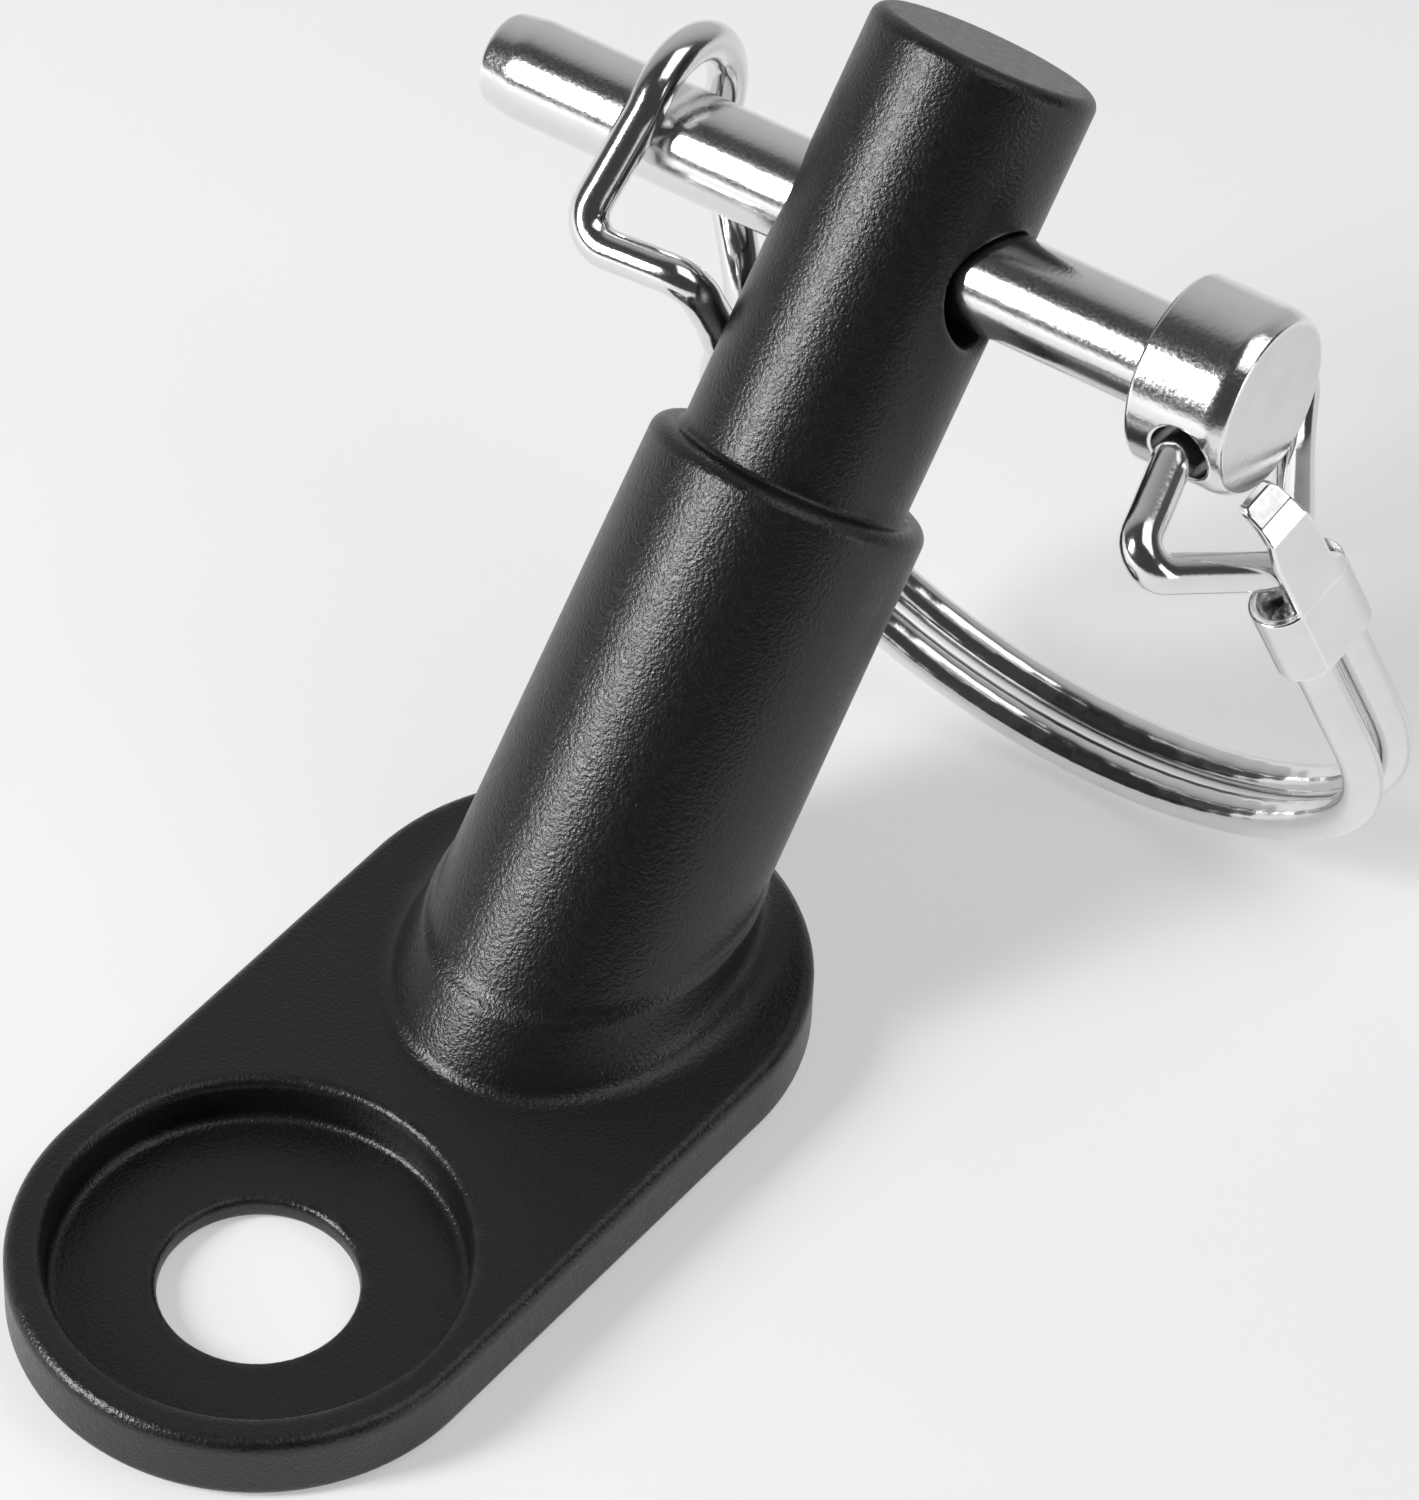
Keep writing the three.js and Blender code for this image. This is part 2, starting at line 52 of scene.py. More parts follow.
# Column and foot
COLUMN_X = 28.8
COLUMN_LEAN = math.radians(38.8)
COLLAR_BASE_RADIUS = 9.18
COLLAR_TOP_RADIUS = 8.92
COLLAR_LENGTH = 33.3
COLLAR_RIM_ROUND = 1.0
SPIGOT_RADIUS = 7.27
COLUMN_LENGTH = 61.15
SPIGOT_TIP_ROUND = 0.9
FOOT_FLARE = 2.4
FOOT_HEIGHT = 3.7
FOOT_SHIFT = FOOT_HEIGHT * math.tan(COLUMN_LEAN)
FOOT_BURIED = 2

# How far the coupler's fillets and softened edges reach along each of the two faces that meet
SHOULDER_REACH = 0.5
FOOT_TOP_REACH = 0.3
FOOT_RIM_REACH = 1.0
FOOT_TO_COLUMN_REACH = 1.1
FOOT_TO_PLATE_REACH = 0.7
RECESS_FLOOR_REACH = 0.7
RECESS_RIM_REACH = 0.75
HOLE_RIM_REACH = 0.6
CROSS_HOLE_RIM_REACH = 0.7

# Pin
PIN_HEIGHT = 48.7
PIN_TILT = math.radians(4.33)
CROSS_HOLE_RADIUS = 3.85
PIN_RADIUS = 3.23
PIN_TIP_RADIUS = 2.87
PIN_TIP_TAPER = 2.3
PIN_TIP_REACH = 29.2
HEAD_START = 19.5
HEAD_END = 26.0
HEAD_RADIUS = 5.87
HEAD_CHAMFER = 0.9
HEAD_CHAMFER_DROP = 0.45
HEAD_EDGE_ROUND = 0.3
HEAD_BEVEL_REACH = 0.18
HEAD_FILLET_REACH = 0.35
HEAD_OVERLAP = 1
TAPER_REACH = 0.06
TIP_EDGE_REACH = 0.5
LINK_HOLE_RIM_REACH = 0.25

# Link
WIRE_RADIUS = 1.25
LINK_HOLE_RADIUS = 1.9
LINK_HOLE_FRONT = np.array([23.3, -4.15, 4.15])
LINK_HOLE_BACK = np.array([23.3, 1.3, -5.72])
LINK_LEAN = math.radians(40)
LINK_SEAM = 0.3
LINK_CORNERS = [
    ((-0.5, 0.0, 0.0), 1.6),
    ((-8.5, 3.5, 0.0), 1.5),
    ((3.6, 9.6, -0.65), 3.2),
    ((10.75, 4.0, 1.0), 6.0),
    ((13.8, 0.0, 0.0), 1.2),
]

# Spring ring
RING_TILT = 0.598
RING_SKEW = 0.0168
RING_CENTRE = np.array([12.1, 18.45])
RING_RADIUS = 23.45
RING_CORNER_RADIUS = 13.0
STRAND_NEAR = -7.5
STRAND_FAR = -4.65
STRAND_INSET = 0.4
NEAR_LEAVE = math.radians(184)
FAR_LEAVE = math.radians(196)
LOOP_HALF_GAP = 4.7
LOOP_REACH = -16.45
LOOP_CROWN = 1.35
LOOP_RISE = [(-10.5, 11.4), (-9.35, 8.2), (-9.45, 5.2)]
LOOP_FRONT_BENDS = [
    ((-9.6, -6.9, LOOP_HALF_GAP - 0.2), 1.9),
    ((LOOP_REACH - 1.55, -7.35, LOOP_HALF_GAP), 2.0),
]
LOOP_BACK_BENDS = [
    ((-15.6, -0.2, -LOOP_HALF_GAP), 12.0),
    ((-11.2, -6.6, -LOOP_HALF_GAP), 6.0),
]

# Ferrule
FERRULE_EXIT = np.array([31.2, 13.6])
FERRULE_SLANT = math.radians(11)
FERRULE_TUBE = 5.7
BARREL_LENGTH = 5.57
BARREL_CURL = math.radians(58)
ROLL_LIMIT = 0.95
FERRULE_WIDTH = 6.9
FERRULE_DEPTH = 4.1
WIRE_INSERTION = 3.6
SHEET = 0.55
TONGUE_ROOT = 0.4
TONGUE_WIDTH = 3.7
TONGUE_END_WIDTH = 2.7
TONGUE_CREASES = [(11.95, 0.0), (13.1, 0.6), (14.3, 1.72)]
TONGUE_NARROWS_FROM = 9.5
TONGUE_CORNER_ROUND = 0.5
TONGUE_SHOULDER_WIDTH = 1.2
TONGUE_SHOULDER_START = FERRULE_TUBE - 0.6
TONGUE_SHOULDER_END = FERRULE_TUBE + 2.2
CUT_EDGE_ROUND = 0.12
SEAM_FILLET_REACH = 0.15

# Meshes: grid steps, how far apart the field is read for slopes and bends, the bends that count
# as an edge (one over millimetres), and the wires' sides, spacing and softened ends
COUPLER_STEP = 0.3
PIN_STEP = 0.14
FERRULE_STEP = 0.11
SETTLING_ROUNDS = 4
SETTLING_STRIDE = 0.5
LEAST_STEEPNESS = 0.05
NORMAL_REACH = 0.03
SETTLING_REACH = 0.02
BEND_REACH = 0.12
EDGE_BEND_START = 0.6
EDGE_BEND_FULL = 2.4
WIRE_SIDES = 28
WIRE_RING_SPACING = 0.3
STRAIGHT_RUN_SPACING = 1.6
WIRE_END_LIP = 0.15

# Colours, darkest first, and the grains in noise cells per metre
COAT_DARK = (0.005, 0.005, 0.0054)
COAT_LIGHT = (0.009, 0.009, 0.0094)
# Edge colour of the coat: partly rub wear, partly a painted sheen on the edges
COAT_RUBBED_AND_SHEEN = (0.05, 0.05, 0.052)
COAT_PEBBLES = 4200
COAT_GRIT = 10000
COAT_BUMP = 0.00005
COAT_TONE_GRAIN = 90
COAT_RUB_AND_SHEEN_GRAIN = 700
COAT_GLOSS_GRAIN = 1800
PLATING_DULL = (0.74, 0.745, 0.755)
PLATING_CLEAR = (0.86, 0.86, 0.865)
# Painted highlight on the plating's convex edges
PLATING_EDGE_HIGHLIGHT = (0.93, 0.93, 0.935)
PLATING_TONE_GRAIN = 400

# Stage
FLOOR_SIZE = 6
FLOOR_DROP = 0.0001
FLOOR_TONE = 0.56
FLOOR_GLOW = 0.4
BACKGROUND_TONE = 0.62
WALL_AZIMUTH = math.radians(36)
WALL_RAMP = [(0.0, 0.05), (0.30, 0.07), (0.45, 0.30), (0.70, 0.45), (1.0, 0.55)]

# Camera: its place in the row frame and the directions of its right side and its view
CAMERA_PLACE = Vector((-0.24712, -0.20086, 0.38311))
CAMERA_RIGHT = Vector((0.61678, -0.78650, 0.03155))
CAMERA_VIEW = Vector((0.54620, 0.39878, -0.73664))
IMAGE_HEIGHT = 1500
FOCAL_PIXELS = 8294.4
SENSOR = 36.0


# ---------- distance fields ----------

def smooth_union(a, b, reach):
    """The nearer of two distances, with a fillet of about half of reach between them."""
    near = np.maximum(reach - np.abs(a - b), 0) / reach
    return np.minimum(a, b) - near * near * reach / 4


def smooth_common(a, b, reach):
    return -smooth_union(-a, -b, reach)


def smooth_cut(a, tool, reach):
    return smooth_common(a, -tool, reach)


def rounded(side, end, radius):
    """A solid bounded by two distances that meet at a rounded edge."""
    s = side + radius
    e = end + radius
    outside = np.hypot(np.maximum(s, 0), np.maximum(e, 0))
    return np.minimum(np.maximum(s, e), 0) + outside - radius


def smooth_step(low, high, value):
    t = np.clip((value - low) / (high - low), 0, 1)
    return t * t * (3 - 2 * t)


def column_coordinates(p):
    """How far along the leaning column points are, their offset in its plane, and their radius."""
    x = p[:, 0] - COLUMN_X
    z = p[:, 2] - PLATE_THICKNESS
    along = x * math.sin(COLUMN_LEAN) + z * math.cos(COLUMN_LEAN)
    offset = x * math.cos(COLUMN_LEAN) - z * math.sin(COLUMN_LEAN)
    return along, offset, np.hypot(offset, p[:, 1])


def plate_side(p):
    x = p[:, 0]
    return np.hypot(x - np.clip(x, 0, PLATE_CENTRES), p[:, 1]) - PLATE_HALF_WIDTH


def foot_field(p):
    """The cast fillet: the column's own sections, swelling as they come down to the plate."""
    height = p[:, 2] - PLATE_THICKNESS
    rise = np.clip(height / FOOT_HEIGHT, 0, 1)
    swell = 1 - np.sqrt(1 - (1 - rise) ** 2)
    middle = COLUMN_X + np.clip(height, 0, None) * math.tan(COLUMN_LEAN) + FOOT_SHIFT * swell
    long_radius = COLLAR_BASE_RADIUS / math.cos(COLUMN_LEAN) + FOOT_FLARE * swell
    short_radius = COLLAR_BASE_RADIUS + FOOT_FLARE * swell
    ratio = np.hypot((p[:, 0] - middle) / long_radius, p[:, 1] / short_radius)
    side = (ratio - 1) * short_radius
    foot = smooth_common(side, height - FOOT_HEIGHT, FOOT_TOP_REACH)
    foot = smooth_common(foot, plate_side(p) + PLATE_EDGE_ROUND, FOOT_RIM_REACH)
    return np.maximum(foot, -height - FOOT_BURIED)


def coupler_field(p):
    """The casting: plate, foot, collar and spigot, less its recess, axle hole and cross hole."""
    floor = PLATE_THICKNESS - RECESS_DEPTH
    z = p[:, 2]
    middle = PLATE_THICKNESS / 2
    plate = rounded(plate_side(p), np.abs(z - middle) - middle, PLATE_EDGE_ROUND)
    along, offset, radius = column_coordinates(p)
    share = np.clip(along / COLLAR_LENGTH, 0, 1)
    collar_radius = COLLAR_BASE_RADIUS + (COLLAR_TOP_RADIUS - COLLAR_BASE_RADIUS) * share
    collar = rounded(radius - collar_radius, along - COLLAR_LENGTH, COLLAR_RIM_ROUND)
    spigot = rounded(radius - SPIGOT_RADIUS, along - COLUMN_LENGTH, SPIGOT_TIP_ROUND)
    column = np.maximum(smooth_union(collar, spigot, SHOULDER_REACH), floor - z)
    footed = smooth_union(column, foot_field(p), FOOT_TO_COLUMN_REACH)
    solid = smooth_union(plate, footed, FOOT_TO_PLATE_REACH)
    from_axle = np.hypot(p[:, 0], p[:, 1])
    recess = smooth_common(from_axle - RECESS_RADIUS, floor - z, RECESS_FLOOR_REACH)
    solid = smooth_cut(solid, recess, RECESS_RIM_REACH)
    solid = smooth_cut(solid, from_axle - HOLE_RADIUS, HOLE_RIM_REACH)
    cross = np.hypot(along - PIN_HEIGHT, offset) - CROSS_HOLE_RADIUS
    return smooth_cut(solid, cross, CROSS_HOLE_RIM_REACH)


def pin_field(p):
    """The turned pin along X: tapered tip, shank and bevelled head, less the hole for the link."""
    x = p[:, 0]
    radius = np.hypot(p[:, 1], p[:, 2])
    taper = (PIN_RADIUS - PIN_TIP_RADIUS) / PIN_TIP_TAPER
    cone = (radius - PIN_TIP_RADIUS - taper * (x + PIN_TIP_REACH)) * math.cos(math.atan(taper))
    shaft = smooth_common(radius - PIN_RADIUS, cone, TAPER_REACH)
    shaft = smooth_common(shaft, -PIN_TIP_REACH - x, TIP_EDGE_REACH)
    shaft = np.maximum(shaft, x - HEAD_START - HEAD_OVERLAP)
    centre = (HEAD_START + HEAD_END) / 2
    half = (HEAD_END - HEAD_START) / 2
    head = rounded(radius - HEAD_RADIUS, np.abs(x - centre) - half, HEAD_EDGE_ROUND)
    fall = HEAD_CHAMFER_DROP / HEAD_CHAMFER
    bevel = radius - HEAD_RADIUS + fall * (x - HEAD_END + HEAD_CHAMFER)
    head = smooth_common(head, bevel * math.cos(math.atan(fall)), HEAD_BEVEL_REACH)
    solid = smooth_union(shaft, head, HEAD_FILLET_REACH)
    through = unit(LINK_HOLE_BACK - LINK_HOLE_FRONT)
    from_hole = p - LINK_HOLE_FRONT
    across = from_hole - np.outer(from_hole @ through, through)
    hole = np.linalg.norm(across, axis=1) - LINK_HOLE_RADIUS
    return smooth_cut(solid, hole, LINK_HOLE_RIM_REACH)


def barrels_field(p):
    """Two rolled barrels behind one flat front sheet, with a gap between the sheet's two edges.

    They stop a little short of the tube's end, so that the link's bend clears them as it swings.
    """
    y = p[:, 1]
    z = np.abs(p[:, 2])
    roll = (FERRULE_DEPTH - SHEET) / 2
    centre = (FERRULE_WIDTH - SHEET) / 2 - roll
    front = np.abs(np.hypot(z - np.minimum(z, centre), y) - roll)
    front = np.where(y >= 0, front, np.hypot(z - centre - roll, y))
    a = z - centre
    end_a = -roll * math.cos(BARREL_CURL)
    end_y = -roll * math.sin(BARREL_CURL)
    to_end = np.hypot(a - end_a, y - end_y)
    curled = (a < 0) & (-y < math.tan(BARREL_CURL) * -a)
    back = np.where(curled, to_end, np.abs(np.hypot(a, y) - roll))
    back = np.where(y >= 0, np.minimum(np.hypot(a - roll, y), to_end), back)
    sheet = np.minimum(front, back) - SHEET / 2
    half = BARREL_LENGTH / 2
    return rounded(sheet, np.abs(p[:, 0] - half) - half, CUT_EDGE_ROUND)


def segment_distance(x, y, start, end):
    """How far points of a plane are from a straight run."""
    along = np.array(end) - np.array(start)
    t = ((x - start[0]) * along[0] + (y - start[1]) * along[1]) / (along @ along)
    t = np.clip(t, 0, 1)
    return np.hypot(x - start[0] - t * along[0], y - start[1] - t * along[1])


def tongue_field(p):
    """The front sheet carried past the barrels, creased over the link, narrowing to its end."""
    face = (FERRULE_DEPTH - SHEET) / 2
    corners = [(TONGUE_ROOT, face)] + [(x, face - drop) for x, drop in TONGUE_CREASES]
    x = p[:, 0]
    z = p[:, 2]
    flat_half = (FERRULE_WIDTH - FERRULE_DEPTH) / 2
    past = np.clip(np.abs(z) - flat_half, 0, ROLL_LIMIT * face)
    y = p[:, 1] + face - np.sqrt(face ** 2 - past ** 2)
    distance = segment_distance(x, y, corners[0], corners[1])
    for start, end in zip(corners[1:], corners[2:]):
        distance = np.minimum(distance, segment_distance(x, y, start, end))
    end_x = TONGUE_CREASES[-1][0]
    narrowing = smooth_step(TONGUE_NARROWS_FROM, end_x, x)
    half = TONGUE_WIDTH / 2 - (TONGUE_WIDTH - TONGUE_END_WIDTH) / 2 * narrowing
    leaving = smooth_step(TONGUE_SHOULDER_START, TONGUE_SHOULDER_END, x)
    shoulder = TONGUE_SHOULDER_WIDTH * (1 - leaving)
    side = np.where(z > 0, z - half - shoulder, -z - half)
    outline = rounded(side, x - end_x, TONGUE_CORNER_ROUND)
    return rounded(distance - SHEET / 2, outline, CUT_EDGE_ROUND)


def ferrule_field(p):
    return smooth_union(barrels_field(p), tongue_field(p), SEAM_FILLET_REACH)


# ---------- meshes from fields ----------

def sampled(field, axes):
    """The field's values at every grid point, one slab at a time."""
    y, z = np.meshgrid(axes[1], axes[2], indexing="ij")
    values = np.empty([len(a) for a in axes])
    for i, x in enumerate(axes[0]):
        slab = np.stack([np.full(y.size, x), y.ravel(), z.ravel()], axis=1)
        values[i] = field(slab).reshape(y.shape)
    return values


def surface_net(values, axes):
    """One vertex for each cell that the surface crosses, one quad for each grid edge it crosses."""
    inside = values < 0
    size = np.array(values.shape)
    corners = [(i, j, k) for i in (0, 1) for j in (0, 1) for k in (0, 1)]
    cell = size - 1
    count = sum(
        inside[i:i + cell[0], j:j + cell[1], k:k + cell[2]].astype(np.int8) for i, j, k in corners
    )
    crossed = np.argwhere((count > 0) & (count < 8))
    number = np.full(tuple(cell), -1)
    number[tuple(crossed.T)] = np.arange(len(crossed))
    total = np.zeros((len(crossed), 3))
    hits = np.zeros(len(crossed))
    for axis in range(3):
        step = np.eye(3, dtype=int)[axis]
        for corner in corners:
            if corner[axis] == 1:
                continue
            start = crossed + corner
            a = values[tuple(start.T)]
            b = values[tuple((start + step).T)]
            cuts = (a < 0) != (b < 0)
            share = np.where(cuts, a / np.where(cuts, a - b, 1), 0)
            point = np.array(corner) + share[:, None] * step
            total += point * cuts[:, None]
            hits += cuts
    spacing = np.array([a[1] - a[0] for a in axes])
    low = np.array([a[0] for a in axes])
    points = low + (crossed + total / hits[:, None]) * spacing
    quads = []
    for axis in range(3):
        u = np.eye(3, dtype=int)[(axis + 1) % 3]
        v = np.eye(3, dtype=int)[(axis + 2) % 3]
        first = np.take(inside, range(size[axis] - 1), axis)
        second = np.take(inside, range(1, size[axis]), axis)
        edges = np.argwhere(first != second)
        rising = first[tuple(edges.T)]
        ring = [number[tuple((edges + shift).T)] for shift in (-u - v, -v, 0 * u, -u)]
        quad = np.stack(ring, axis=1)
        quads.append(np.where(rising[:, None], quad, quad[:, ::-1]))
    return points, np.concatenate(quads)


def slope(field, points, reach):
    """The field's gradient."""
    columns = []
    for axis in np.eye(3) * reach:
        columns.append((field(points + axis) - field(points - axis)) / (2 * reach))
    return np.stack(columns, axis=1)


def bend(field, points, reach):
    """How sharply the surface curves outward: one over its radius, summed over both directions."""
    around = sum(field(points + a) + field(points - a) for a in np.eye(3) * reach)
    return (around - 6 * field(points)) / reach ** 2


def placed_piece(name, points, faces, placing):
    """A smooth-shaded object, its points moved by the placing and turned into metres."""
    world = (points @ placing[:3, :3].T + placing[:3, 3]) * MM
    mesh = bpy.data.meshes.new(name)
    mesh.from_pydata(world.tolist(), [], faces)
    mesh.shade_smooth()
    piece = bpy.data.objects.new(name, mesh)
    bpy.context.scene.collection.objects.link(piece)
    return piece


def solid_from(name, field, low, high, step, placing):
    """A mesh of the field's surface, each vertex exactly on it and shaded by its true normal."""
    axes = [np.arange(a - 3 * step, b + 4 * step, step) for a, b in zip(low, high)]
    points, quads = surface_net(sampled(field, axes), axes)
    for _ in range(SETTLING_ROUNDS):
        gradient = slope(field, points, SETTLING_REACH)
        steepness = np.maximum((gradient ** 2).sum(axis=1), LEAST_STEEPNESS)
        move = gradient * (field(points) / steepness)[:, None]
        stride = SETTLING_STRIDE * step
        points = points - np.clip(move, -stride, stride)
    normals = slope(field, points, NORMAL_REACH)
    normals /= np.linalg.norm(normals, axis=1)[:, None]
    edge = smooth_step(EDGE_BEND_START, EDGE_BEND_FULL, bend(field, points, BEND_REACH))
    piece = placed_piece(name, points, quads.tolist(), placing)
    edges = piece.data.attributes.new("edge", "FLOAT", "POINT")
    edges.data.foreach_set("value", edge.astype(np.float32))
    turned = (normals @ placing[:3, :3].T).tolist()
    piece.data.normals_split_custom_set_from_vertices(turned)
    return piece


# ---------- places ----------

def basis(x, y, z, at):
    made = np.eye(4)
    made[:3, 0] = x
    made[:3, 1] = y
    made[:3, 2] = z
    made[:3, 3] = at
    return made


def unit(v):
    return np.array(v, float) / np.linalg.norm(v)


def row_place():
    return basis((1, 0, 0), (0, 1, 0), (0, 0, 1), (-ORIGIN_X, 0, 0))


def pin_place():
    """X out along the pin to its head, Y up the column, Z to the front."""
    up = np.array([math.sin(COLUMN_LEAN), 0, math.cos(COLUMN_LEAN)])
    out = np.array([0, -math.cos(PIN_TILT), 0]) + up * math.sin(PIN_TILT)
    raised = unit(up - out * (up @ out))
    centre = np.array([COLUMN_X, 0, PLATE_THICKNESS]) + up * PIN_HEIGHT
    return row_place() @ basis(out, raised, np.cross(out, raised), centre)


def link_place():
    """X through the head's hole from front to back, Y down the link, Z its normal."""
    through = unit(LINK_HOLE_BACK - LINK_HOLE_FRONT)
    out = np.array([1.0, 0.0, 0.0])
    hang = unit(np.cross(through, out))
    if hang[1] > 0:
        hang = -hang
    down = hang * math.cos(LINK_LEAN) + out * math.sin(LINK_LEAN)
    return pin_place() @ basis(through, down, np.cross(through, down), LINK_HOLE_FRONT)


def ring_point(reach, depth, height):
    """A point of the ring: reach along the pin, depth behind it, height along the ring's normal."""
    lift = height + RING_SKEW * reach
    y = lift * math.cos(RING_TILT) - depth * math.sin(RING_TILT)
    z = -lift * math.sin(RING_TILT) - depth * math.cos(RING_TILT)
    return np.array([reach, y, z])


def ferrule_place():
    """X along the wires toward the link, Y outward from the ring, Z across both strands."""
    along = np.array([math.sin(FERRULE_SLANT), math.cos(FERRULE_SLANT)])
    inset = np.array([-along[1], along[0]]) * STRAND_INSET
    far_exit = ring_point(*FERRULE_EXIT, STRAND_FAR)
    near_exit = ring_point(*(FERRULE_EXIT + inset), STRAND_NEAR)
    to_link = ring_point(-along[0], -along[1], 0)
    across = unit(far_exit - near_exit)
    middle = (near_exit + far_exit) / 2
    return pin_place() @ basis(to_link, np.cross(across, to_link), across, middle)


# ---------- wires ----------

def arc(cx, cy, radius, start, end, steps):
    angles = np.linspace(start, end, steps + 1)
    return [(cx + radius * math.cos(a), cy + radius * math.sin(a)) for a in angles]


def rounded_route(corners):
    """Straight runs between the points of an open route, each corner rounded to its own radius."""
    points = []
    last = len(corners) - 1
    for i, (at, radius) in enumerate(corners):
        at = np.array(at, float)
        if i in (0, last) or radius == 0:
            points.append(at)
            continue
        before = unit(np.array(corners[i - 1][0]) - at)
        after = unit(np.array(corners[i + 1][0]) - at)
        half = math.acos(before @ after) / 2
        centre = at + unit(before + after) * radius / math.sin(half)
        start = at + before * radius / math.tan(half) - centre
        end = at + after * radius / math.tan(half) - centre
        sweep = math.acos(np.clip(unit(start) @ unit(end), -1, 1))
        steps = max(2, math.ceil(sweep / 0.3))
        for k in range(steps + 1):
            a = math.sin((1 - k / steps) * sweep) / math.sin(sweep)
            b = math.sin(k / steps * sweep) / math.sin(sweep)
            points.append(centre + start * a + end * b)
    return points


def denser(points, spacing):
    """Midpoints on long straight runs, so that a smooth curve stays straight there."""
    out = []
    for a, b in zip(points, points[1:]):
        pieces = max(1, math.ceil(np.linalg.norm(b - a) / spacing))
        out += [a + (b - a) * k / pieces for k in range(pieces)]
    return out + [points[-1]]


def smooth_curve(points, spacing):
    """A centripetal curve through the points, in even steps of about that spacing."""
    p = np.array([2 * points[0] - points[1], *points, 2 * points[-1] - points[-2]])
    knots = np.maximum(np.linalg.norm(np.diff(p, axis=0), axis=1), 1e-6) ** 0.5
    fine = []
    for i in range(1, len(p) - 2):
        d0, d1, d2 = knots[i - 1], knots[i], knots[i + 1]
        leave = (p[i] - p[i - 1]) / d0 - (p[i + 1] - p[i - 1]) / (d0 + d1) + (p[i + 1] - p[i]) / d1
        reach = (p[i + 1] - p[i]) / d1 - (p[i + 2] - p[i]) / (d1 + d2) + (p[i + 2] - p[i + 1]) / d2
        t = np.linspace(0, 1, 9)[:-1, None]
        rise = 3 * t ** 2 - 2 * t ** 3
        fine.append(
            p[i] * (1 - rise) + p[i + 1] * rise
            + leave * d1 * (t ** 3 - 2 * t ** 2 + t) + reach * d1 * (t ** 3 - t ** 2)
        )
    fine = np.concatenate(fine + [points[-1][None, :]])
    length = np.concatenate([[0], np.cumsum(np.linalg.norm(np.diff(fine, axis=0), axis=1))])
    even = np.linspace(0, length[-1], max(2, round(length[-1] / spacing)) + 1)
    return np.stack([np.interp(even, length, fine[:, a]) for a in range(3)], axis=1)


def wire_from(name, route, placing):
    """A round wire along the route, its section carried along without twist, its cut ends softened.

    Its "edge" attribute stays zero, since a round wire has no edges for the plating's painted edge
    highlight.
    """
    path = smooth_curve(denser(route, STRAIGHT_RUN_SPACING), WIRE_RING_SPACING)
    tangents = np.gradient(path, axis=0)
    tangents /= np.linalg.norm(tangents, axis=1)[:, None]
    side = unit(np.cross(tangents[0], (0.3, 0.5, 0.8)))
    angles = np.linspace(0, 2 * math.pi, WIRE_SIDES, endpoint=False)
    rings = []
    for point, tangent in zip(path, tangents):
        side = unit(side - tangent * (side @ tangent))
        other = np.cross(tangent, side)
        circle = np.outer(np.cos(angles), side) + np.outer(np.sin(angles), other)
        rings.append((point, circle))
    first, last = rings[0], rings[-1]
    end_radius = WIRE_RADIUS - WIRE_END_LIP
    loops = [first[0] - tangents[0] * WIRE_END_LIP + first[1] * end_radius]
    loops += [point + circle * WIRE_RADIUS for point, circle in rings]
    loops.append(last[0] + tangents[-1] * WIRE_END_LIP + last[1] * end_radius)
    points = np.concatenate(loops)
    quads = []
    for i in range(len(loops) - 1):
        here = i * WIRE_SIDES
        there = here + WIRE_SIDES
        for k in range(WIRE_SIDES):
            n = (k + 1) % WIRE_SIDES
            quads.append((here + k, here + n, there + n, there + k))
    start_cap = tuple(range(WIRE_SIDES - 1, -1, -1))
    end_cap = tuple((len(loops) - 1) * WIRE_SIDES + k for k in range(WIRE_SIDES))
    piece = placed_piece(name, points, quads + [start_cap, end_cap], placing)
    piece.data.attributes.new("edge", "FLOAT", "POINT")
    return piece


def link_route():
    middle = np.linalg.norm(LINK_HOLE_BACK - LINK_HOLE_FRONT) / 2
    first = ((middle - LINK_SEAM / 2, 0, 0), 0)
    last = ((middle + LINK_SEAM / 2, 0, 0), 0)
    return rounded_route([first, *LINK_CORNERS, last])


def strand_route(height, inset, leave):
    """From the ferrule round to the tip end of the pin, in the ring's own plane."""
    along = np.array([math.sin(FERRULE_SLANT), math.cos(FERRULE_SLANT)])
    outward = np.array([along[1], -along[0]])
    leave_ferrule = FERRULE_EXIT - outward * inset
    start = leave_ferrule - along * WIRE_INSERTION
    inner = RING_RADIUS - RING_CORNER_RADIUS
    offset = outward @ (leave_ferrule - RING_CENTRE) - RING_CORNER_RADIUS
    join = math.acos(offset / inner) - FERRULE_SLANT
    corner = RING_CENTRE + inner * np.array([math.cos(join), math.sin(join)])
    plane = [tuple(start)]
    plane += arc(corner[0], corner[1], RING_CORNER_RADIUS, -FERRULE_SLANT, join, 8)
    plane += arc(RING_CENTRE[0], RING_CENTRE[1], RING_RADIUS, join + 0.1, leave, 26)
    return [ring_point(x, y, height) for x, y in plane]


